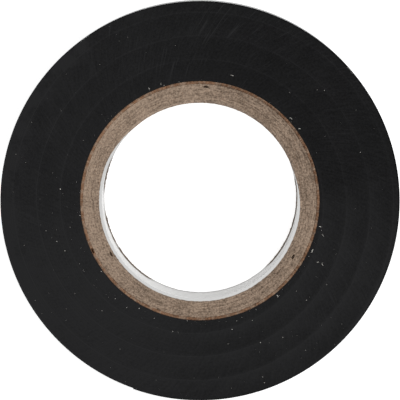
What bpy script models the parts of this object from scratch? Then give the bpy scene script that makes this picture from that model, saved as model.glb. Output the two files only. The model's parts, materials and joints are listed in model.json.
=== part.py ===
"""Electrical tape roll: a paper core of five wound plies, the wound vinyl tape and its free end.

The roll lies flat on z = 0 with its axis on +Z. Lengths are in metres and angles in radians.
"""

import math

import bmesh
import bpy

# Driving dimensions.
ROLL_WIDTH = 0.019
ROLL_RADIUS = 0.03865
BORE_RADIUS = 0.01905
CORE_WALL = 0.0041
TAPE_THICKNESS = 0.00015

# The core's plies, from the bore outwards.
LINER_THICKNESS = 0.00045
KRAFT_THICKNESS = 0.0006
BOARD_PLIES = ("core_board_inner", "core_board_middle", "core_board_outer")

# Each ply is a strip wound on the slant, so its butt joint is a slanted slit. The joints are staggered.
# The angles are where the joints meet the top face.
STRIP_WIDTH = 0.090
SEAM_GAP = 0.0004
CUTTER_OVERRUN = 1.4
KRAFT_SEAM_ANGLE = math.radians(205)
SEAM_STAGGER = math.radians(-118)

# The free end of the tape: rigid lengths on hinges, where the real strip bends anywhere.
# Seen from above, the tape is wound clockwise towards its end.
FREE_END_ANGLE = math.radians(250.5)
TAIL_LENGTHS = 8
TAIL_LENGTH_ANGLE = math.radians(6)

# Clearances between pieces that touch on the real roll.
PLY_GAP = 0.00005
TAPE_GAP = 0.00003
END_GAP = 0.0001

FACETS = 120
FACET_ANGLE = math.tau / FACETS
SHARP_ANGLE = math.radians(30)
WELD_DISTANCE = TAPE_GAP / 100

# Values worked out from the ones above.
CORE_RADIUS = BORE_RADIUS + CORE_WALL
BOARD_THICKNESS = (CORE_WALL - LINER_THICKNESS - KRAFT_THICKNESS) / len(BOARD_PLIES)
TAIL_ANGLE = TAIL_LENGTHS * TAIL_LENGTH_ANGLE

COLLECTION = "electrical_tape_roll"
CUTTER_COLLECTION = "cutters"

# Linear base colour and roughness.
BLACK_EDGE = ((0.016, 0.016, 0.017), 0.62)
BLACK_FACE = ((0.014, 0.014, 0.015), 0.36)
WHITE_PAPER = ((0.78, 0.76, 0.73), 0.75)
GREY_BOARD = ((0.242, 0.178, 0.133), 0.90)
BROWN_KRAFT = ((0.216, 0.135, 0.088), 0.85)


def clear_scene():
    """Remove every object the file starts with."""
    for found in list(bpy.data.objects):
        bpy.data.objects.remove(found, do_unlink=True)


def collection(name):
    """A new collection in the scene."""
    made = bpy.data.collections.new(name)
    bpy.context.scene.collection.children.link(made)
    return made


def add_material(piece, finish):
    """Give the piece a material of its own."""
    colour, roughness = finish
    made = bpy.data.materials.new(piece.name)
    made.use_nodes = True
    shader = made.node_tree.nodes["Principled BSDF"]
    shader.inputs["Base Color"].default_value = (*colour, 1.0)
    shader.inputs["Roughness"].default_value = roughness
    shader.inputs["Metallic"].default_value = 0.0
    piece.data.materials.append(made)


def shade(piece):
    """Smooth the round stretches and keep the cut edges sharp."""
    piece.data.shade_smooth()
    piece.data.set_sharp_from_angle(angle=SHARP_ANGLE)


def add_piece(name, mesh, finish, location=(0, 0, 0)):
    """Put a finished mesh into the part's collection."""
    piece = bpy.data.objects.new(name, mesh)
    piece.location = location
    bpy.data.collections[COLLECTION].objects.link(piece)
    add_material(piece, finish)
    shade(piece)
    return piece


def polar(radius, angle):
    """The point at this radius and angle from the roll's axis."""
    return radius * math.cos(angle), radius * math.sin(angle)


def turn_inner_radius(wound):
    """Inside radius of the outermost turn, wound radians after it starts under the free end."""
    at_free_end = ROLL_RADIUS - TAPE_THICKNESS
    return at_free_end - TAPE_THICKNESS * (1 - wound / math.tau)


def turn_point(wound, outwards=0.0):
    """A point on the outermost turn, outwards of its inside face."""
    return polar(turn_inner_radius(wound) + outwards, FREE_END_ANGLE - wound)


def evaluated_mesh(drawn):
    """The mesh that a drawn curve or modified profile makes. The drawing itself is removed."""
    bpy.context.scene.collection.objects.link(drawn)
    depsgraph = bpy.context.evaluated_depsgraph_get()
    mesh = bpy.data.meshes.new_from_object(drawn.evaluated_get(depsgraph))
    bpy.data.objects.remove(drawn, do_unlink=True)
    return mesh


def curve_mesh(name, loops, filled):
    """Flat outlines drawn out to the roll's width, from z = 0 up."""
    curve = bpy.data.curves.new(name, "CURVE")
    curve.dimensions = "2D"
    curve.fill_mode = "BOTH" if filled else "NONE"
    curve.extrude = ROLL_WIDTH / 2
    for points in loops:
        spline = curve.splines.new("POLY")
        spline.points.add(len(points) - 1)
        spline.use_cyclic_u = filled
        for place, (x, y) in zip(spline.points, points):
            place.co = (x, y, 0, 1)
    mesh = evaluated_mesh(bpy.data.objects.new(name, curve))
    weld_and_lift(mesh, ROLL_WIDTH / 2)
    return mesh


def weld_and_lift(mesh, height):
    """Join the caps to the sides, and move the mesh up."""
    shape = bmesh.new()
    shape.from_mesh(mesh)
    bmesh.ops.remove_doubles(shape, verts=shape.verts, dist=WELD_DISTANCE)
    bmesh.ops.translate(shape, verts=shape.verts, vec=(0, 0, height))
    bmesh.ops.recalc_face_normals(shape, faces=shape.faces)
    shape.to_mesh(mesh)
    shape.free()


def ring(name, inner, outer, finish):
    """A turned ring of the roll's full width."""
    profile = bpy.data.meshes.new(name)
    corners = [(outer, ROLL_WIDTH), (outer, 0), (inner, 0), (inner, ROLL_WIDTH)]
    edges = [(0, 1), (1, 2), (2, 3), (3, 0)]
    profile.from_pydata([(x, 0, z) for x, z in corners], edges, [])
    turned = bpy.data.objects.new(name, profile)
    screw = turned.modifiers.new("turn", "SCREW")
    screw.axis = "Z"
    screw.angle = math.tau
    screw.steps = FACETS
    screw.render_steps = FACETS
    screw.use_merge_vertices = True
    screw.merge_threshold = WELD_DISTANCE
    return add_piece(name, evaluated_mesh(turned), finish)


def cut_seam(piece, inner, outer, top_angle):
    """Slit a ply from end to end along its slanted butt joint, which meets the top face at top_angle."""
    middle = (inner + outer) / 2
    slant = math.acos(STRIP_WIDTH / (math.tau * middle))
    # Half way down, the joint stands this far round from where it meets the top face.
    lag = math.asin(ROLL_WIDTH / 2 * math.tan(slant) / middle)
    # The straight cutter has to reach the curved wall where it leaves both ends.
    depth = 2 * (outer - inner * math.cos(lag)) + BOARD_THICKNESS
    length = CUTTER_OVERRUN * ROLL_WIDTH / math.cos(slant)
    bpy.ops.mesh.primitive_cube_add(size=1)
    cutter = bpy.context.object
    cutter.name = f"{piece.name}_seam"
    cutter.scale = (depth, SEAM_GAP, length)
    bpy.ops.object.transform_apply(location=False, rotation=False, scale=True)
    cutter.rotation_euler = (slant, 0, top_angle + lag)
    cutter.location = (*polar(middle, top_angle + lag), ROLL_WIDTH / 2)
    for holder in list(cutter.users_collection):
        holder.objects.unlink(cutter)
    bpy.data.collections[CUTTER_COLLECTION].objects.link(cutter)
    cutter.hide_render = True
    cutter.display_type = "WIRE"
    cut = piece.modifiers.new("seam", "BOOLEAN")
    cut.operation = "DIFFERENCE"
    cut.solver = "EXACT"
    cut.object = cutter


def add_core():
    """The five plies, from the kraft wrap inwards to the white liner."""
    plies = [("core_kraft_wrap", KRAFT_THICKNESS, BROWN_KRAFT)]
    plies += [(name, BOARD_THICKNESS, GREY_BOARD) for name in reversed(BOARD_PLIES)]
    plies += [("core_liner", LINER_THICKNESS, WHITE_PAPER)]
    outer = CORE_RADIUS
    for place, (name, thickness, finish) in enumerate(plies):
        inner = outer - thickness
        # The liner keeps its full thickness, because it is the bore's wall.
        clearance = 0 if name == "core_liner" else PLY_GAP
        ply = ring(name, inner + clearance, outer, finish)
        cut_seam(ply, inner + clearance, outer, KRAFT_SEAM_ANGLE + place * SEAM_STAGGER)
        outer = inner


def add_tape_pack():
    """All the turns under the outermost one, as one body with the step the last turn starts from."""
    inside = [polar(CORE_RADIUS + PLY_GAP, i * FACET_ANGLE) for i in range(FACETS)]
    outside = [turn_point(i * FACET_ANGLE, -TAPE_GAP) for i in range(FACETS + 1)]
    mesh = curve_mesh("tape_pack", [outside, inside], filled=True)
    add_piece("tape_pack", mesh, BLACK_EDGE)


def strip(name, start, end, origin):
    """A length of tape on the outermost turn, with its own origin. Its ends are whole facets, but for the gap."""
    facets = range(round(start / FACET_ANGLE) + 1, round(end / FACET_ANGLE) + 1)
    wound = [start + END_GAP / ROLL_RADIUS] + [i * FACET_ANGLE for i in facets]
    points = [(x - origin[0], y - origin[1]) for x, y in map(turn_point, wound)]
    mesh = curve_mesh(name, [points], filled=False)
    piece = add_piece(name, mesh, BLACK_FACE, (*origin, 0))
    thicken = piece.modifiers.new("thickness", "SOLIDIFY")
    thicken.thickness = TAPE_THICKNESS
    thicken.use_even_offset = True
    # The outline is the inside face, so the thickness goes away from the axis whichever way its faces point.
    face = mesh.polygons[0]
    from_axis = face.center + piece.location
    thicken.offset = 1 if face.normal.xy.dot(from_axis.xy) > 0 else -1
    return piece


def add_outermost_turn():
    """The stuck part of the outermost turn, and the lengths of the free end in a chain of hinges."""
    stuck = math.tau - TAIL_ANGLE
    parent = strip("outer_turn", 0, stuck, (0, 0))
    for i in range(TAIL_LENGTHS):
        start = stuck + i * TAIL_LENGTH_ANGLE
        hinge = turn_point(start, TAPE_THICKNESS)
        length = strip(f"free_end_{i + 1}", start, start + TAIL_LENGTH_ANGLE, hinge)
        attach(length, parent)
        parent = length


def attach(piece, parent):
    """Parent the piece and leave it where it stands."""
    bpy.context.view_layer.update()
    piece.parent = parent
    piece.matrix_parent_inverse = parent.matrix_world.inverted()


clear_scene()
collection(COLLECTION)
collection(CUTTER_COLLECTION)
add_core()
add_tape_pack()
add_outermost_turn()
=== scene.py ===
"""The looks of an electrical tape roll: wound black vinyl on a paper core, lying flat on a white floor.

Lengths are in metres. Angles are anticlockwise from +X, seen from above.
"""

import functools
import json
import math
import random

import bmesh
import bpy
import numpy as np
from mathutils import Matrix, Vector, noise


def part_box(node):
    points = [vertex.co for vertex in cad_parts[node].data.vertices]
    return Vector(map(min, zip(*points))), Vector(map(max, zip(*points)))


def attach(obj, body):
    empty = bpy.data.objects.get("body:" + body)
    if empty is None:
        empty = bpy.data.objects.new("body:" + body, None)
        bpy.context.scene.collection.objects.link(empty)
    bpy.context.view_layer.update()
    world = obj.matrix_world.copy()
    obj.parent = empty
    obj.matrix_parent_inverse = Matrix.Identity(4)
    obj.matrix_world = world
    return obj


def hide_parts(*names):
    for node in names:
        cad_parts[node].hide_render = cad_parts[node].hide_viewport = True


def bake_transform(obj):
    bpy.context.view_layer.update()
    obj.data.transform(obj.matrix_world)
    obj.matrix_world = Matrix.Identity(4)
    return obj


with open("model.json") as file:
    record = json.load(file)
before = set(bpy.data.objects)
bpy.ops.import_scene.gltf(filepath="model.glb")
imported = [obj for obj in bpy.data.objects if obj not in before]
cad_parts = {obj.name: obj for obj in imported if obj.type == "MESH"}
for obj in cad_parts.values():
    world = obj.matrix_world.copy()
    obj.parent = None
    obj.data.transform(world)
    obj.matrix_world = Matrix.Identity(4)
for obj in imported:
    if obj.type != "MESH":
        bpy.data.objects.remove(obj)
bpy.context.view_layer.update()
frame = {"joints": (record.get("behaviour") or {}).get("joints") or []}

MM = 0.001
# Two places closer than this are the same.
SAME = 1e-9

# ---------------------------------------------------------------- sizes, from the frame where it has them


def outer_radius(node):
    """A round node's outside radius, from its box."""
    low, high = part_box(node)
    return (high[0] - low[0]) / 2


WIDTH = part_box("tape_pack")[1][2]
LINER_R = outer_radius("core_liner")
BOARD_PLACES = ("inner", "middle", "outer")
BOARD_R = [outer_radius(f"core_board_{place}") for place in BOARD_PLACES]
CORE_R = outer_radius("core_kraft_wrap")
HINGES = [Vector(joint["pos_m"]) for joint in frame["joints"]]
LINER_THICKNESS = 0.45 * MM
BORE_R = LINER_R - LINER_THICKNESS
TAPE = 0.15 * MM
SEGMENT = HINGES[0].xy.angle_signed(HINGES[1].xy)
TAIL = SEGMENT * len(HINGES)
STUCK = math.tau - TAIL
# The tape is wound clockwise towards its end, which is this far round from +X, anticlockwise.
FREE_END = math.atan2(HINGES[0].y, HINGES[0].x) - TAIL
# The frame's outline is made of chords. A smooth one has to be this much smaller to stay inside its box.
CHORD_SAG = 0.013 * MM
# The hinges lie on the outside of the outermost turn, which is still growing there.
ROLL_R = HINGES[0].xy.length + TAPE * TAIL / math.tau - CHORD_SAG
# How far the flat faces lie inside the box, which leaves room for relief and dust.
FACE_DROP = 0.07 * MM

# The plies' butt joints, as on the frame: strips wound on the slant, each joint staggered from the last.
STRIP_WIDTH = 90 * MM
SEAM_GAP = 0.06 * MM
KRAFT_SEAM = math.radians(205)
SEAM_STAGGER = math.radians(-118)


def turn_inside(wound):
    """Inside radius of the outermost turn, wound radians after it starts under the free end."""
    return ROLL_R - TAPE - TAPE * (1 - wound / math.tau)


# The knife that cut the roll moved in while the roll turned, which left one spiral ridge on each face.
KNIFE_CENTRE = (-0.50 * MM, -0.32 * MM)
KNIFE_PITCH = 4.56 * MM
KNIFE_PHASE = 0.30
# The painted facet shading starts this share of a turn before the ridge itself.
RIDGE_LEAD = 0.13


def knife_phase(radius, angle):
    """0 on the ridge, rising to 1 just inside the next turn of the ridge outwards."""
    x = radius * np.cos(angle) - KNIFE_CENTRE[0]
    y = radius * np.sin(angle) - KNIFE_CENTRE[1]
    return (np.hypot(x, y) / KNIFE_PITCH + np.arctan2(y, x) / math.tau - KNIFE_PHASE) % 1


# ---------------------------------------------------------------- mesh helpers


def wobble(points, scale, seed, octaves=3):
    """Smooth noise about 0 at each point, mostly within 1 of it, with features of about this size."""
    shift = Vector((seed * 7.13, seed * 3.71, seed * 5.37))
    flat = np.asarray(points).reshape(-1, 3) / scale
    values = [noise.fractal(Vector(p) + shift, 0.8, 2.1, octaves) for p in flat]
    return np.array(values).reshape(np.asarray(points).shape[:-1])


def place(radius, angle, height):
    """Cartesian points from arrays of radius, angle and height."""
    return np.stack([radius * np.cos(angle), radius * np.sin(angle), height], axis=-1)


def add_object(name, mesh, body="roll", materials=()):
    """Link a mesh to the scene, riding on a body."""
    made = bpy.data.objects.new(name, mesh)
    bpy.context.scene.collection.objects.link(made)
    for material in materials:
        mesh.materials.append(material)
    if body:
        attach(made, body)
    return made


def grid_faces(columns, rows):
    """Quads between the columns of a grid. The rows of each column close into a loop."""
    c, r = np.meshgrid(np.arange(columns - 1), np.arange(rows), indexing="ij")
    following = (r + 1) % rows
    quads = [c * rows + r, (c + 1) * rows + r, (c + 1) * rows + following, c * rows + following]
    return np.stack(quads, axis=-1).reshape(-1, 4)


# Edges that turn by more than this stay sharp.
SHARP_ANGLE = math.radians(50)


def swept(points):
    """A closed body from cross-section loops, one per column. The loops at both ends are capped."""
    columns, rows = points.shape[:2]
    mesh = bpy.data.meshes.new("swept")
    faces = grid_faces(columns, rows).tolist()
    faces.append(list(range(rows)))
    faces.append(list(range((columns - 1) * rows, columns * rows))[::-1])
    mesh.from_pydata(points.reshape(-1, 3).tolist(), [], faces)
    shape = bmesh.new()
    shape.from_mesh(mesh)
    bmesh.ops.recalc_face_normals(shape, faces=shape.faces)
    shape.to_mesh(mesh)
    shape.free()
    mesh.shade_smooth()
    mesh.set_sharp_from_angle(angle=SHARP_ANGLE)
    return mesh


# The sides of a cross-section, in the order that its outline runs.
INSIDE, TOP, OUTSIDE, BOTTOM = range(4)


def section(inner, outer, bottom, top, wall_rows, face_rows):
    """A rectangle's outline as (radius, height, side), from the bottom of its inside upwards.

    The rows on the walls lie closer together near both ends.
    """
    spaced = 0.5 - 0.5 * np.cos(np.linspace(0, math.pi, wall_rows + 1))[:-1]
    up = bottom + (top - bottom) * spaced
    out = np.linspace(inner, outer, face_rows + 1)[:-1]
    down = top - (top - bottom) * spaced
    back = np.linspace(outer, inner, face_rows + 1)[:-1]
    radius = np.concatenate([np.full(wall_rows, inner), out, np.full(wall_rows, outer), back])
    height = np.concatenate([up, np.full(face_rows, top), down, np.full(face_rows, bottom)])
    side = np.repeat([INSIDE, TOP, OUTSIDE, BOTTOM], [wall_rows, face_rows, wall_rows, face_rows])
    return radius, height, side


# ---------------------------------------------------------------- shader helpers


class Shader:
    """A Principled material and short ways to add nodes to it."""

    def __init__(self, name, roughness=0.5, specular=0.5):
        self.material = bpy.data.materials.new(name)
        self.material.use_nodes = True
        self.nodes = self.material.node_tree.nodes
        self.links = self.material.node_tree.links
        self.principled = self.nodes["Principled BSDF"]
        self.principled.inputs["Roughness"].default_value = roughness
        self.principled.inputs["Specular IOR Level"].default_value = specular

    def add(self, kind, **settings):
        made = self.nodes.new(kind)
        for key, value in settings.items():
            setattr(made, key, value)
        return made

    def feed(self, socket, value):
        """Link a socket to another, or give it a value."""
        if isinstance(value, bpy.types.NodeSocket):
            self.links.new(value, socket)
        else:
            socket.default_value = value

    def math(self, operation, first, second=0.0):
        made = self.add("ShaderNodeMath", operation=operation)
        for socket, value in zip(made.inputs, (first, second)):
            self.feed(socket, value)
        return made.outputs[0]

    def sum(self, *values):
        return functools.reduce(lambda first, second: self.math("ADD", first, second), values)

    def product(self, *values):
        return functools.reduce(lambda first, second: self.math("MULTIPLY", first, second), values)

    def swing(self, value, size):
        """A value between 0 and 1 moved to lie about 0, and scaled to this size."""
        return self.product(self.math("SUBTRACT", value, 0.5), size)

    def position(self):
        """Where the point is, in the piece's own coordinates."""
        return self.add("ShaderNodeTexCoord").outputs["Object"]

    def parts(self, vector):
        made = self.add("ShaderNodeSeparateXYZ")
        self.feed(made.inputs[0], vector)
        return made.outputs

    def joined(self, x, y, z=0.0):
        made = self.add("ShaderNodeCombineXYZ")
        for socket, value in zip(made.inputs, (x, y, z)):
            self.feed(socket, value)
        return made.outputs[0]

    def polar(self, centre=(0.0, 0.0)):
        """(radius, angle) about a centre on the flat face, in metres and radians."""
        x, y, _ = self.parts(self.position())
        dx = self.math("SUBTRACT", x, centre[0])
        dy = self.math("SUBTRACT", y, centre[1])
        squares = self.sum(self.product(dx, dx), self.product(dy, dy))
        return self.math("SQRT", squares), self.math("ARCTAN2", dy, dx)

    def lobe(self, angle, towards, width):
        """1 towards a direction, falling smoothly to 0 at width either side. Both are in degrees."""
        return self.lobe_flat(angle, towards, 0, width)

    def lobe_flat(self, angle, towards, full, gone):
        """1 within full degrees of a direction, falling smoothly to 0 at gone degrees."""
        near = self.math("COSINE", self.math("SUBTRACT", angle, math.radians(towards)))
        return self.ramp(near, math.cos(math.radians(gone)), math.cos(math.radians(full)))

    def noise(self, vector, size, detail=3.0, roughness=0.55):
        """Noise from about 0 to 1 with features of this size."""
        made = self.add("ShaderNodeTexNoise")
        self.feed(made.inputs["Vector"], vector)
        made.inputs["Scale"].default_value = 1 / size
        made.inputs["Detail"].default_value = detail
        made.inputs["Roughness"].default_value = roughness
        return made.outputs["Fac"]

    def ramp(self, value, low, high, smooth=True):
        """0 at low, 1 at high."""
        made = self.add("ShaderNodeMapRange")
        made.interpolation_type = "SMOOTHSTEP" if smooth else "LINEAR"
        self.feed(made.inputs["Value"], value)
        made.inputs["From Min"].default_value = low
        made.inputs["From Max"].default_value = high
        return made.outputs["Result"]

    def mix(self, share, first, second):
        made = self.add("ShaderNodeMix", data_type="RGBA")
        self.feed(made.inputs["Factor"], share)
        for socket, value in ((made.inputs["A"], first), (made.inputs["B"], second)):
            self.feed(socket, value if isinstance(value, bpy.types.NodeSocket) else (*value, 1.0))
        return made.outputs["Result"]

    def colour(self, value):
        self.feed(self.principled.inputs["Base Color"], value)

    def rough(self, value):
        self.feed(self.principled.inputs["Roughness"], value)

    def bump(self, height, depth, strength=1.0):
        made = self.add("ShaderNodeBump")
        made.inputs["Strength"].default_value = strength
        made.inputs["Distance"].default_value = depth
        self.feed(made.inputs["Height"], height)
        self.links.new(made.outputs["Normal"], self.principled.inputs["Normal"])


# ---------------------------------------------------------------- materials

# Middle radii of the wound face and of the board, rounded. They turn an angle into a length.
FACE_MIDDLE_R = 31 * MM
BOARD_MIDDLE_R = 21 * MM

# Strokes run outwards and bend clockwise by this many radians per metre.
STROKE_BEND = 17.0
STROKE_WIDTH = 0.36 * MM
STROKE_STRENGTH = 1.5
# Where strokes are strongest, as direction and reach either side, in degrees. A share is left elsewhere.
STROKED = ((80, 50), (215, 40))
STROKES_ELSEWHERE = 0.35
# Painted sheen: the directions where the face is painted paler as if light catches it, the reach either side
# in degrees, and how much paler.
PAINTED_SHEEN_SECTORS = ((180, 130, 0.36), (234, 60, 0.36), (318, 55, 0.46))
# Taken off the whole face, so that it is painted darker where there is no painted sheen.
SHEEN_BASELINE = 0.06
EDGE_TONES = ((0.0016, 0.0016, 0.0018), (0.0140, 0.0141, 0.0148))
# Where the unmarked face lies between its two tones.
EDGE_SHARE = 0.34
EDGE_RELIEF = 0.02 * MM
# The ridge's painted highlight line starts this far before the ridge, holds until just after it, and then
# ends, in turns.
LINE_BEFORE = 0.03
LINE_HELD = 0.01
LINE_AFTER = 0.06
# Taken off the painted facet shading beside the ridge.
FACET_SHADE_LEVEL = 0.38


def ridge_painted_light(s):
    """Painted light along the spiral ridge: a thin painted highlight on it, and a band of painted shading
    over each facet that fades away from the ridge on both sides.
    """
    radius, angle = s.polar(KNIFE_CENTRE)
    turns = s.sum(s.math("DIVIDE", radius, KNIFE_PITCH), s.math("DIVIDE", angle, math.tau))
    waver = s.swing(s.noise(s.position(), 9 * MM, 2), 0.10)
    phase = s.math("FRACT", s.sum(s.math("SUBTRACT", turns, KNIFE_PHASE - RIDGE_LEAD), waver))
    rise = s.ramp(phase, RIDGE_LEAD - LINE_BEFORE, RIDGE_LEAD)
    line = s.product(rise, s.ramp(phase, RIDGE_LEAD + LINE_AFTER, RIDGE_LEAD + LINE_HELD))
    fading = s.math("POWER", s.math("SUBTRACT", 1.0, phase), 1.6)
    painted_facet_shade = s.product(fading, s.ramp(phase, 0.0, 0.20))
    return line, painted_facet_shade, angle


def stroke_tones(s, around, bent, radius):
    """Tone of the knife's bent strokes, which come in patches."""
    strokes = s.noise(s.joined(bent, s.product(radius, 0.05)), STROKE_WIDTH, 2, 0.6)
    strokes = s.ramp(strokes, 0.56, 0.80)
    patches = s.ramp(s.noise(s.position(), 8 * MM, 2), 0.45, 0.62)
    strongest = s.sum(*[s.lobe(around, *where) for where in STROKED])
    return s.product(strokes, s.product(patches, s.sum(STROKES_ELSEWHERE, strongest)))


def wound_edge_material():
    """The cut edges of the wound turns: dull black, with the knife's marks, mottled by adhesive. Painted
    light is added: painted sheen on some sides, a painted highlight and painted shade along the knife's
    ridge, and painted light along the outer edge on the left.
    """
    s = Shader("wound_edge", specular=0.10)
    radius, around = s.polar()
    line, painted_facet_shade, angle = ridge_painted_light(s)
    bent = s.product(s.sum(around, s.product(radius, STROKE_BEND)), FACE_MIDDLE_R)
    strokes = stroke_tones(s, around, bent, radius)

    mottle = s.noise(s.position(), 0.42 * MM, 4, 0.7)
    cloud = s.noise(s.position(), 5 * MM, 3, 0.6)
    brushed = s.noise(s.joined(bent, s.product(radius, 0.12)), 0.35 * MM, 3, 0.6)
    tone = s.sum(s.swing(mottle, 1.4), s.swing(cloud, 0.45), s.swing(brushed, 0.75))

    # Painted sheen: the face is painted paler towards the left, lower left and lower right, and darker
    # elsewhere.
    painted_sheen = s.sum(*[s.product(s.lobe(around, towards, width), paler) for towards, width, paler in PAINTED_SHEEN_SECTORS])
    tone = s.sum(tone, s.math("SUBTRACT", painted_sheen, SHEEN_BASELINE))
    # The painted facet shading shows most towards the lower right. Its level is taken off so that it doesn't
    # brighten the face.
    facet_shade_strength = s.sum(0.12, s.product(s.lobe(angle, 312, 60), 0.34))
    tone = s.sum(tone, s.product(s.math("SUBTRACT", painted_facet_shade, FACET_SHADE_LEVEL), facet_shade_strength))
    # Painted light: paler patches along the outer edge on the left side.
    painted_rim_light = s.product(s.lobe(around, 165, 75), s.ramp(radius, 0.86 * ROLL_R, 0.99 * ROLL_R))
    tone = s.sum(tone, s.product(painted_rim_light, s.ramp(cloud, 0.35, 0.60), 0.55))
    # The painted highlight along the ridge, and the knife's strokes.
    tone = s.sum(tone, s.product(line, 0.20), s.product(strokes, STROKE_STRENGTH))

    s.colour(s.mix(s.sum(EDGE_SHARE, tone), *EDGE_TONES))
    s.rough(s.sum(0.5, s.product(mottle, 0.2)))
    height = s.sum(s.product(strokes, 0.8), s.product(line, 0.6), s.product(mottle, 0.8))
    s.bump(height, EDGE_RELIEF, 0.6)
    return s.material


VINYL_TONES = ((0.0060, 0.0060, 0.0064), (0.0125, 0.0125, 0.0130))
# The lines on the vinyl are stretched along it: this many metres of noise for each radian.
LINE_STRETCH = 0.004
VINYL_RELIEF = 0.02 * MM


def vinyl_material():
    """The outside of the tape: satin black vinyl with faint lines along its length."""
    s = Shader("vinyl_face", specular=0.36)
    _, _, z = s.parts(s.position())
    _, angle = s.polar()
    lines = s.noise(s.joined(s.product(angle, LINE_STRETCH), z), 0.35 * MM, 3)
    peel = s.noise(s.position(), 0.6 * MM, 3)
    sag = s.noise(s.position(), 5 * MM, 2)
    s.colour(s.mix(lines, *VINYL_TONES))
    s.rough(s.sum(0.27, s.product(peel, 0.16)))
    height = s.sum(s.product(lines, 0.5), s.product(peel, 0.5), s.product(sag, 3.0))
    s.bump(height, VINYL_RELIEF, 0.5)
    return s.material


ADHESIVE_TONES = ((0.009, 0.009, 0.0095), (0.017, 0.017, 0.018))
ADHESIVE_RELIEF = 0.02 * MM


def adhesive_material():
    """The sticky side: black, wetter than the outside and pitted where it let go."""
    s = Shader("adhesive_face")
    pits = s.ramp(s.noise(s.position(), 0.9 * MM, 2), 0.40, 0.75)
    s.colour(s.mix(pits, *ADHESIVE_TONES))
    s.rough(s.sum(0.16, s.product(pits, 0.3)))
    s.bump(pits, ADHESIVE_RELIEF, 0.35)
    return s.material


# Tones of cut paper as (dark, light, warm), and of the far rim's dark stretches as (dark, light).
BOARD_TONES = ((0.098, 0.069, 0.049), (0.385, 0.286, 0.213), (0.270, 0.163, 0.103))
KRAFT_TONES = ((0.070, 0.034, 0.018), (0.265, 0.150, 0.090), (0.300, 0.118, 0.052))
PAPER_TONES = ((0.585, 0.582, 0.575), (0.665, 0.662, 0.655))
DARK_RIM_TONES = ((0.085, 0.066, 0.052), (0.210, 0.168, 0.135))
# Painted shade at the foot of the bore's wall.
WALL_FOOT_SHADE = (0.150, 0.122, 0.100)
# Where the bore's far rim is dark, from and to, in degrees, and how softly each stretch ends.
DARK_RIM_SPANS = ((190, 239), (-45, 14), (157, 175))
DARK_RIM_SOFTNESS = 4

# A pit's colour as a share of the darkest fibre's.
PIT_SHADE = 0.4
BOARD_RELIEF = 0.07 * MM
SMEAR_LENGTH = 1.6 * MM
KRAFT_SMEARED = 0.6
PAPER_RELIEF = 0.03 * MM


def board_tones(s):
    """Tone of cut board: grain, short fibres lying round the core, plies and patches, and painted light:
    lighter towards the left, darker towards the upper right.
    """
    radius, angle = s.polar()
    along = s.product(angle, BOARD_MIDDLE_R)
    fibres = s.noise(s.joined(s.product(along, 0.22), radius), 0.26 * MM, 2, 0.6)
    grain = s.noise(s.position(), 0.33 * MM, 2, 0.7)
    patches = s.noise(s.position(), 2.2 * MM, 3)
    plies = s.noise(s.joined(radius, s.product(along, 0.01)), 0.35 * MM, 2)
    tone = s.sum(s.product(grain, 0.60), s.product(fibres, 0.40), s.swing(plies, 0.22))
    # Painted light: the board is painted lighter towards the left and darker towards the upper right.
    tone = s.sum(tone, s.product(s.lobe(angle, 155, 90), 0.05))
    tone = s.math("SUBTRACT", tone, s.product(s.lobe(angle, 40, 60), 0.03))
    return s.sum(tone, s.swing(patches, 0.22)), grain, fibres


def board_colour(s, dark, light, warm):
    """Board's colour, with reddish fibres and dark pits. Also its height for a bump."""
    tone, grain, fibres = board_tones(s)
    base = s.mix(s.ramp(tone, 0.353, 0.647, smooth=False), dark, light)
    red = s.ramp(s.noise(s.position(), 0.35 * MM, 3), 0.56, 0.72)
    base = s.mix(s.product(red, 0.45), base, warm)
    pits = s.ramp(s.noise(s.position(), 0.14 * MM, 2), 0.22, 0.36)
    height = s.sum(grain, fibres, s.product(pits, 0.8))
    return s.mix(pits, tuple(PIT_SHADE * c for c in dark), base), height


def board_material(name, tones, smeared=0.0):
    """Cut paper: short fibres in several tones, with pits between them.

    Where it is smeared, stretches of a few millimetres are greyer: the knife dragged board over them.
    """
    s = Shader(name, roughness=0.92, specular=0.12)
    colour, height = board_colour(s, *tones)
    if smeared:
        _, angle = s.polar()
        along = s.joined(s.product(angle, BOARD_MIDDLE_R), 0.0)
        dragged = s.ramp(s.noise(along, SMEAR_LENGTH, 3, 0.6), 0.46, 0.58)
        colour = s.mix(s.product(dragged, smeared), colour, board_colour(s, *BOARD_TONES)[0])
    s.colour(colour)
    s.bump(height, BOARD_RELIEF, 0.8)
    return s.material


def dragged_fibres(s, radius, angle, z):
    """1 where the knife dragged brown fibres over the liner's cut edges, mostly on the +Y side."""
    ragged = s.swing(s.noise(s.position(), 0.5 * MM, 3), 0.25 * MM)
    reach = s.product(s.lobe_flat(angle, 75, 38, 86), LINER_THICKNESS * 1.5)
    reach = s.sum(reach, 0.06 * MM)
    edge = s.math("SUBTRACT", LINER_R, s.sum(reach, ragged))
    covered = s.ramp(s.math("SUBTRACT", radius, edge), -0.03 * MM, 0.03 * MM)
    from_middle = s.math("ABSOLUTE", s.math("SUBTRACT", z, WIDTH / 2))
    return s.product(covered, s.ramp(from_middle, WIDTH / 2 - 0.35 * MM, WIDTH / 2 - 0.22 * MM))


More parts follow.
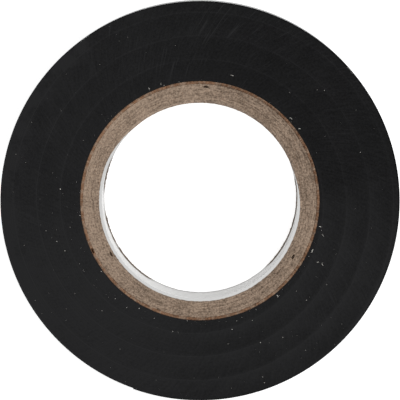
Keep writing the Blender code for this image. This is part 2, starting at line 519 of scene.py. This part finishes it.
def liner_material():
    """Smooth white paper, with brown fibres on its cut edges and painted shade at the foot of the wall near
    the far rim.
    """
    s = Shader("white_liner", roughness=0.55, specular=0.3)
    _, _, z = s.parts(s.position())
    radius, angle = s.polar()
    lines = s.noise(s.joined(0.0, 0.0, z), 0.5 * MM, 3)
    mottle = s.noise(s.position(), 2.5 * MM, 3)
    shade = s.sum(s.product(lines, 0.5), s.product(mottle, 0.5))
    brown, height = board_colour(s, *BOARD_TONES)
    covered = dragged_fibres(s, radius, angle, z)
    clean = s.mix(covered, s.mix(shade, *PAPER_TONES), brown)
    # Painted shade at the foot of the wall, over the far rim's dark stretches.
    s.colour(s.mix(painted_wall_foot_shade(s, angle, z), clean, WALL_FOOT_SHADE))
    s.bump(s.sum(shade, s.product(height, covered)), PAPER_RELIEF, 0.5)
    return s.material


def dark_rim_stretches(s, angle):
    """1 in the stretches round the bore's far rim that are coloured dark."""
    where = 0.0
    for start, end in DARK_RIM_SPANS:
        half = (end - start) / 2
        stretch = s.lobe_flat(angle, start + half, half - DARK_RIM_SOFTNESS, half + DARK_RIM_SOFTNESS)
        where = s.math("MAXIMUM", where, stretch)
    return s.product(where, s.ramp(s.noise(s.position(), 2.6 * MM, 2), 0.28, 0.42))


def painted_wall_foot_shade(s, angle, z):
    """Painted shade: a dark band at the foot of the bore's wall, above the far rim's dark stretches."""
    ragged = s.swing(s.noise(s.position(), 0.9 * MM, 3), 2.4 * MM)
    height = s.sum(z, ragged)
    return s.product(dark_rim_stretches(s, angle), s.ramp(height, 2.4 * MM, 1.2 * MM))


def far_rim_material():
    """The lip at the bore's far rim: white paper, dark in some stretches."""
    s = Shader("far_rim", roughness=0.8, specular=0.15)
    _, angle = s.polar()
    grain = s.noise(s.position(), 0.3 * MM, 3)
    s.colour(s.mix(dark_rim_stretches(s, angle), s.mix(grain, *PAPER_TONES), s.mix(grain, *DARK_RIM_TONES)))
    s.bump(grain, PAPER_RELIEF, 0.5)
    return s.material


DUST_TONES = ((0.24, 0.23, 0.21), (0.80, 0.77, 0.71))
FUZZ_TONES = ((0.16, 0.12, 0.09), (0.52, 0.42, 0.33))


def speck_material(name, dark, light):
    """Dust and lint in several tones."""
    s = Shader(name, roughness=0.9, specular=0.2)
    s.colour(s.mix(s.noise(s.position(), 1.5 * MM, 2), dark, light))
    return s.material


WOUND_EDGE = wound_edge_material()
VINYL = vinyl_material()
ADHESIVE = adhesive_material()
BOARD = board_material("grey_board", BOARD_TONES)
KRAFT = board_material("brown_kraft", KRAFT_TONES, KRAFT_SMEARED)
LINER = liner_material()
DUST = speck_material("dust", *DUST_TONES)
FAR_RIM = far_rim_material()
FUZZ = speck_material("board_fuzz", *FUZZ_TONES)


# ---------------------------------------------------------------- the wound tape

TURN_COLUMNS = 216
ROWS_PER_TURN = 2
PACK_WALL_ROWS = 6
# Gap between the wound tape and its outermost turn.
PACK_GAP = 0.02 * MM
# How far each turn's edge drops within one turn of the ridge, by chance, and in the groove between turns.
RIDGE_DROP = 0.02 * MM
TURN_WANDER = 0.012 * MM
TURN_GROOVE = 0.012 * MM


def add_tape_pack():
    """All the turns under the outermost one: a true spiral, each turn's edge standing at its own height."""
    first = CORE_R
    last = turn_inside(0.0) - PACK_GAP
    turns = round((last - first) / TAPE)
    pitch = (last - first) / turns
    radius, height, side = section(0.0, 1.0, 0.0, WIDTH, PACK_WALL_ROWS, turns * ROWS_PER_TURN)
    wound = np.linspace(0, math.tau, TURN_COLUMNS + 1)
    # Only the outside follows the tape's end. The rows run along the turns between it and the round core.
    outside = np.array([turn_inside(w) for w in wound]) - PACK_GAP
    far = first + radius[None, :] * (outside[:, None] - first)
    angle = np.broadcast_to((FREE_END - wound)[:, None], far.shape)
    # Each turn reads the noise at a height of its own, so neighbouring turns stand differently.
    # The small amount keeps a row on the edge between two turns from falling to the inner one.
    turn = np.floor((far - first) / pitch + 1e-6)
    wander = wobble(place(np.ones_like(far), angle, turn * 0.9), 1.0, seed=2, octaves=2)
    groove = np.where(np.arange(len(radius)) % ROWS_PER_TURN == 0, 1.0, 0.0)[None, :]
    drop = FACE_DROP + RIDGE_DROP * knife_phase(far, angle) + TURN_WANDER * wander + TURN_GROOVE * groove
    z = np.where(side == TOP, WIDTH - drop, np.where(side == BOTTOM, drop, height))
    z = np.clip(z, FACE_DROP / 2, WIDTH - FACE_DROP / 2)
    mesh = swept(place(far, angle, z))
    made = add_object("wound_tape", mesh, materials=[WOUND_EDGE, VINYL])
    for face in mesh.polygons:
        face.material_index = 0 if abs(face.normal.z) > 0.5 else 1
    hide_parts("tape_pack")


STRIP_WALL_ROWS = 24
STRIP_FACE_ROWS = 2
# How uneven the strip's cut edges are.
STRIP_RELIEF = 0.015 * MM
STUCK_COLUMNS = 208


def strip_points(start, end, columns):
    """Cross-sections of the outermost turn between two wound angles."""
    wound = np.linspace(start, end, columns + 1)
    inner = np.array([turn_inside(w) for w in wound])
    radius, height, _ = section(0.0, 1.0, 0.0, 1.0, STRIP_WALL_ROWS, STRIP_FACE_ROWS)
    far = inner[:, None] + radius[None, :] * TAPE
    angle = np.broadcast_to((FREE_END - wound)[:, None], far.shape)
    uneven = wobble(place(far, angle, np.zeros_like(far)), 6 * MM, seed=5)
    drop = FACE_DROP / 2 + STRIP_RELIEF * (1 + uneven)
    z = drop + height[None, :] * (WIDTH - 2 * drop)
    return place(far, angle, z)


def strip_materials(mesh):
    """Cut edges dull, the outside vinyl, the inside adhesive."""
    for material in (WOUND_EDGE, VINYL, ADHESIVE):
        mesh.materials.append(material)
    for face in mesh.polygons:
        outwards = face.normal.xy.dot(face.center.xy)
        face.material_index = 0 if abs(face.normal.z) > 0.5 else 1 if outwards > 0 else 2


def add_outer_turn():
    """The stuck part of the outermost turn. It starts where the turn under it ends, as one strip."""
    mesh = swept(strip_points(0.0, STUCK, STUCK_COLUMNS))
    strip_materials(mesh)
    made = add_object("outermost_turn", mesh)
    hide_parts("outer_turn")


# How far before each hinge after the first the strip's pieces meet.
UNCURL_BEND = 1.0 * MM
PEEL_COLUMNS = 56
UNCURL_COLUMNS = 16


def add_free_end():
    """The free end, one piece to a hinge. Each piece but the first starts a little before its hinge, where
    the one before it ends.
    """
    reach = UNCURL_BEND / ROLL_R
    for i in range(len(HINGES)):
        hinge = STUCK + i * SEGMENT
        start = hinge if i == 0 else hinge - reach
        end = math.tau if i == len(HINGES) - 1 else hinge + SEGMENT - reach
        mesh = swept(strip_points(start, end, PEEL_COLUMNS if i == 0 else UNCURL_COLUMNS))
        strip_materials(mesh)
        piece = add_object(f"free_end_strip_{i + 1}", mesh, body=None)
        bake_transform(piece)
        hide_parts(f"free_end_{i + 1}")


# ---------------------------------------------------------------- the paper core

CORE_COLUMNS = 560
SEAM_COLUMNS = 24
CORE_WALL_ROWS = 12
# The hole that the knife tears in a ply's cut face where its strip's ends meet.
PIT_LENGTH = 0.50 * MM
PIT_WIDTH = 0.17 * MM
PIT_DEPTH = 0.9 * MM
# How far the liner turns over into the bore at both faces, and over what height that dies away.
FLARE = 0.16 * MM
FLARE_HEIGHT = 0.35 * MM
# How rough the cut faces are, and how far their edges are rounded and frayed.
KRAFT_RELIEF = 0.05 * MM
KRAFT_FRAY = 0.06 * MM
PLY_RELIEF = 0.06 * MM
PLY_FRAY = 0.012 * MM
LINER_RELIEF = 0.02 * MM
LINER_FRAY = 0.01 * MM


def seam_lag(radius, z):
    """How far round a slanted butt joint has gone by this height, counted from the top."""
    slant = math.acos(STRIP_WIDTH / (math.tau * radius))
    return (WIDTH - z) * math.tan(slant) / radius


def ring_columns(radius):
    """Angles from one lip of a butt joint round to the other, closer together near the joint."""
    gap = SEAM_GAP / radius / 2
    near = 2 * PIT_LENGTH / radius
    close = np.linspace(gap, near, SEAM_COLUMNS, endpoint=False)
    open_part = np.linspace(near, math.tau - near, CORE_COLUMNS)
    return np.concatenate([close, open_part, (math.tau - close)[::-1]])


def ply(name, inner, outer, top_angle, material, seed, relief, edge_fray, pit=True, face_rows=10, flare=0.0):
    """One ply: a ring open at its slanted butt joint, with a fibrous cut face and frayed edges."""
    radius, height, _ = section(inner, outer, 0.0, WIDTH, CORE_WALL_ROWS, face_rows)
    middle = (inner + outer) / 2
    around = ring_columns(middle)
    far = np.broadcast_to(radius, (len(around), len(radius))).copy()
    z = np.broadcast_to(height, far.shape).copy()
    lag = np.array([seam_lag(middle, h) for h in height])
    angle = top_angle + around[:, None] + lag[None, :]
    rough = wobble(place(far, angle, z), 0.5 * MM, seed)
    coarse = wobble(place(far, angle, z), 3 * MM, seed + 20)
    sink = FACE_DROP + relief * (0.5 + 0.5 * rough) + 0.5 * relief * (1 + coarse)
    if pit:
        # The knife tears a small hole where the strip's two ends meet.
        along = np.minimum(around, math.tau - around)[:, None] * middle
        hole = (along / PIT_LENGTH) ** 2 + ((far - middle) / PIT_WIDTH) ** 2
        sink = sink + PIT_DEPTH * np.clip(1.3 - hole, 0, 1)
    at_top = height >= WIDTH - SAME
    at_bottom = height <= SAME
    z = np.where(at_top, z - sink, np.where(at_bottom, z + sink, z))
    # The cut leaves both edges of a ply rounded and frayed.
    for edge, inwards in ((inner, 1), (outer, -1)):
        on_edge = (np.abs(radius - edge) < SAME) & (at_top | at_bottom)
        far[:, on_edge] += inwards * edge_fray * (0.5 + 0.7 * rough[:, on_edge])
        z[:, on_edge] += np.where(at_top[on_edge], -1, 1) * edge_fray
    # The knife turns the bore's edges over into it, within a fraction of a millimetre of both faces.
    on_inside = np.abs(radius - inner) < SAME
    from_face = np.minimum(height, WIDTH - height)[on_inside]
    far[:, on_inside] -= flare * np.exp(-from_face / FLARE_HEIGHT) * (0.9 + 0.3 * rough[:, on_inside])
    mesh = swept(place(far, angle, z))
    made = add_object(f"{name}_ply", mesh, materials=[material])
    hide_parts(name)
    return made


def add_core():
    """The kraft wrap, the three board plies and the white liner, from the outside inwards."""
    angle = KRAFT_SEAM
    made = ply("core_kraft_wrap", BOARD_R[2], CORE_R, angle, KRAFT, 11, KRAFT_RELIEF, KRAFT_FRAY, face_rows=6)
    edges = (LINER_R, *BOARD_R)
    for seed, i in ((12, 2), (13, 1), (14, 0)):
        angle += SEAM_STAGGER
        name = f"core_board_{BOARD_PLACES[i]}"
        made = ply(name, edges[i], edges[i + 1], angle, BOARD, seed, PLY_RELIEF, PLY_FRAY)
    angle += SEAM_STAGGER
    made = ply(
        "core_liner", BORE_R, LINER_R, angle, LINER, 16, LINER_RELIEF, LINER_FRAY,
        pit=False, face_rows=4, flare=FLARE)


LIP_COLUMNS = 1440
LIP_HEIGHT = 0.4 * MM
LIP_REACH = 0.25 * MM


def add_far_lip():
    """The slightly ragged lip that the knife turned inwards at the bore's far rim."""
    angles = np.linspace(0, math.tau, LIP_COLUMNS + 1)
    rim = place(np.full_like(angles, BORE_R), angles, np.zeros_like(angles))
    rough = wobble(rim, 0.7 * MM, seed=31, octaves=4)[:, None]
    slow = wobble(rim, 5 * MM, seed=32, octaves=2)[:, None]
    tip = BORE_R - LIP_REACH - 0.035 * MM * rough - 0.02 * MM * slow
    out = np.full_like(tip, BORE_R + 0.02 * MM)
    low = FACE_DROP + 0.03 * MM * (1 + rough)
    top = low + LIP_HEIGHT
    far = np.hstack([out, out, tip + 0.4 * (out - tip), tip])
    z = np.hstack([low, top, low + 0.7 * LIP_HEIGHT, low + 0.03 * MM])
    made = add_object("far_rim_lip", swept(place(far, angles[:, None], z)), materials=[FAR_RIM])


# ---------------------------------------------------------------- dust, lint and fuzz


def flake(shape, centre, size, turn, rng):
    """A small uneven flake lying on the face."""
    made = bmesh.ops.create_icosphere(shape, subdivisions=1, radius=0.5)
    stretch = Vector((size * rng.uniform(0.8, 1.3), size * rng.uniform(0.5, 0.9), size * 0.3))
    spin = Matrix.Rotation(turn, 3, "Z")
    for vert in made["verts"]:
        jitter = 1 + rng.uniform(-0.25, 0.25)
        local = Vector((vert.co.x * stretch.x, vert.co.y * stretch.y, vert.co.z * stretch.z)) * jitter
        vert.co = centre + spin @ local


def fibre(shape, path, thickness):
    """A thin three-sided thread along a path."""
    rings = []
    for i, point in enumerate(path):
        ahead = path[min(i + 1, len(path) - 1)] - path[max(i - 1, 0)]
        side = ahead.cross(Vector((0, 0, 1)))
        side = side.normalized() if side.length > SAME else Vector((1, 0, 0))
        over = side.cross(ahead.normalized())
        taper = thickness * (0.4 if i in (0, len(path) - 1) else 1.0) / 2
        turns = [math.tau * k / 3 for k in range(3)]
        corners = [point + taper * (side * math.cos(t) + over * math.sin(t)) for t in turns]
        rings.append([shape.verts.new(corner) for corner in corners])
    for first, second in zip(rings, rings[1:]):
        for k in range(3):
            shape.faces.new((first[k], first[(k + 1) % 3], second[(k + 1) % 3], second[k]))
    shape.faces.new(rings[0][::-1])
    shape.faces.new(rings[-1])


def lint_path(centre, direction, length, curl, points=6):
    """A curved path lying flat."""
    path = []
    for i in range(points):
        t = i / (points - 1) - 0.5
        heading = direction + curl * t
        path.append(centre + Vector((math.cos(heading), math.sin(heading), 0)) * length * t)
    return path


def finished(name, shape, material):
    """Turn loose geometry into a piece on the roll."""
    bmesh.ops.recalc_face_normals(shape, faces=shape.faces)
    mesh = bpy.data.meshes.new(name)
    shape.to_mesh(mesh)
    shape.free()
    mesh.shade_smooth()
    return add_object(name, mesh, materials=[material])


# Places tried for a speck. Most of those on the cleaner side are left empty.
SPECK_TRIES = 560
SPECK_SIZE = 0.032 * MM
SPECK_LARGEST = 0.24 * MM
# Dust lies on the wound face.
DUST_HEIGHT = WIDTH - FACE_DROP - 0.02 * MM
LINT = 12
LINT_AT_CORE = 8
# Least and most.
LINT_LENGTH = (0.4 * MM, 0.8 * MM)
LINT_THICKNESS = (0.09 * MM, 0.17 * MM)


def add_dust():
    """Specks on the wound face, thickest near the core and on the -Y side, and a few longer bits of lint."""
    rng = random.Random(7)
    shape = bmesh.new()
    for _ in range(SPECK_TRIES):
        angle = rng.uniform(0, math.tau)
        share = rng.random() ** 1.7
        if rng.random() > 0.55 - 0.45 * math.sin(angle + 0.5):
            continue
        far = CORE_R + (ROLL_R - CORE_R) * (0.01 + 0.97 * share)
        size = min(SPECK_SIZE * (1 + rng.expovariate(0.75)), SPECK_LARGEST)
        spot = Vector((far * math.cos(angle), far * math.sin(angle), DUST_HEIGHT))
        flake(shape, spot, size, rng.uniform(0, math.tau), rng)
    # Most of the lint hangs on the edge between the core and the tape. The rest lies further out.
    for i in range(LINT):
        angle = rng.uniform(0, math.tau)
        share = 0.02 if i < LINT_AT_CORE else rng.uniform(0.05, 0.4)
        far = CORE_R + (ROLL_R - CORE_R) * share + 0.3 * MM
        centre = Vector((far * math.cos(angle), far * math.sin(angle), DUST_HEIGHT))
        heading = rng.uniform(0, math.pi)
        length = rng.uniform(*LINT_LENGTH)
        path = lint_path(centre, heading, length, rng.uniform(-1.5, 1.5))
        fibre(shape, path, rng.uniform(*LINT_THICKNESS))
    finished("dust_and_lint", shape, DUST)


RIM_FIBRES = 70
FACE_FIBRES = 260
FUZZ_HEIGHT = WIDTH - FACE_DROP - 0.04 * MM


def add_board_fuzz():
    """A little loose fuzz on the core's cut face, and a few fibres hanging off the bore's far rim."""
    rng = random.Random(11)
    shape = bmesh.new()
    for _ in range(RIM_FIBRES):
        start, end = rng.choice(DARK_RIM_SPANS)
        angle = math.radians(rng.uniform(start, end))
        out = Vector((math.cos(angle), math.sin(angle), 0))
        along = Vector((-out.y, out.x, 0)) * rng.choice((-1, 1))
        root = out * (BORE_R - LIP_REACH + 0.05 * MM) + Vector((0, 0, 0.3 * MM))
        tip = root - out * rng.uniform(0.0, 0.15) * MM + along * rng.uniform(0.2, 0.6) * MM
        fibre(shape, [root, root.lerp(tip, 0.5) - out * 0.04 * MM, tip], 0.08 * MM)
    for _ in range(FACE_FIBRES):
        angle = rng.uniform(0, math.tau)
        far = rng.uniform(LINER_R, CORE_R)
        centre = Vector((far * math.cos(angle), far * math.sin(angle), FUZZ_HEIGHT))
        heading = angle + math.pi / 2 + rng.gauss(0, 0.5)
        path = lint_path(centre, heading, rng.uniform(0.25, 0.8) * MM, rng.uniform(-2, 2), 4)
        fibre(shape, path, rng.uniform(0.03, 0.07) * MM)
    made = finished("board_fuzz", shape, FUZZ)


# ---------------------------------------------------------------- stage, light and camera

FACE_DISTANCE = 1.10
LEAN = math.radians(2.72)
LEAN_TOWARDS = math.radians(83)
# Sensor width in millimetres, as Blender counts it.
SENSOR = 36.0
# The roll's face just fills the frame.
FACE_FILL = 1.0008
FOCAL = FACE_DISTANCE * SENSOR / 2 * FACE_FILL / ROLL_R
SHIFT = (0.00045, 0.00215)

# Wide enough that its edge stays out of low views.
FLOOR_HALF = 20.0
FLOOR_GLOW = 0.606
WORLD_LIGHT = 0.735
LIGHT_PLACE = (0.42, 0.10, 0.30)
LIGHT_SIZE = 0.30
LIGHT_POWER = 1.52


def add_floor():
    """A white floor that glows a little, as a light table does."""
    mesh = bpy.data.meshes.new("floor")
    corners = [(x * FLOOR_HALF, y * FLOOR_HALF, 0) for x, y in ((-1, -1), (1, -1), (1, 1), (-1, 1))]
    mesh.from_pydata(corners, [], [(0, 1, 2, 3)])
    floor = bpy.data.objects.new("floor", mesh)
    bpy.context.scene.collection.objects.link(floor)
    s = Shader("floor", roughness=0.9, specular=0.1)
    s.principled.inputs["Base Color"].default_value = (0.9, 0.9, 0.9, 1)
    s.principled.inputs["Emission Color"].default_value = (1, 1, 1, 1)
    s.principled.inputs["Emission Strength"].default_value = FLOOR_GLOW
    mesh.materials.append(s.material)


def add_light():
    """A soft square light on the right that looks at the roll. The rest of the light comes from all round."""
    data = bpy.data.lights.new("soft_light", "AREA")
    data.size = LIGHT_SIZE
    data.energy = LIGHT_POWER
    light = bpy.data.objects.new("soft_light", data)
    light.location = LIGHT_PLACE
    light.rotation_euler = (Vector((0, 0, WIDTH)) - Vector(LIGHT_PLACE)).to_track_quat("-Z", "Y").to_euler()
    bpy.context.scene.collection.objects.link(light)


def add_camera():
    """Almost straight above the roll, with image up along +Y."""
    data = bpy.data.cameras.new("camera")
    data.sensor_width = SENSOR
    data.lens = FOCAL
    data.shift_x, data.shift_y = SHIFT
    data.clip_start = 0.01
    camera = bpy.data.objects.new("camera", data)
    sideways = FACE_DISTANCE * math.sin(LEAN)
    target = Vector((0, 0, WIDTH))
    upwards = FACE_DISTANCE * math.cos(LEAN)
    offset = Vector((sideways * math.cos(LEAN_TOWARDS), sideways * math.sin(LEAN_TOWARDS), upwards))
    camera.location = target + offset
    backwards = offset.normalized()
    right = Vector((0, 1, 0)).cross(backwards).normalized()
    up = backwards.cross(right)
    camera.rotation_euler = Matrix((right, up, backwards)).transposed().to_euler()
    bpy.context.scene.collection.objects.link(camera)
    bpy.context.scene.camera = camera


def add_stage():
    """The floor, the light, the world and the camera."""
    add_floor()
    add_light()
    world = bpy.data.worlds.new("studio")
    world.use_nodes = True
    world.node_tree.nodes["Background"].inputs["Color"].default_value = (1, 1, 1, 1)
    world.node_tree.nodes["Background"].inputs["Strength"].default_value = WORLD_LIGHT
    bpy.context.scene.world = world
    bpy.context.scene.view_settings.view_transform = "Standard"
    add_camera()


add_tape_pack()
add_outer_turn()
add_free_end()
add_core()
add_far_lip()
add_dust()
add_board_fuzz()
add_stage()
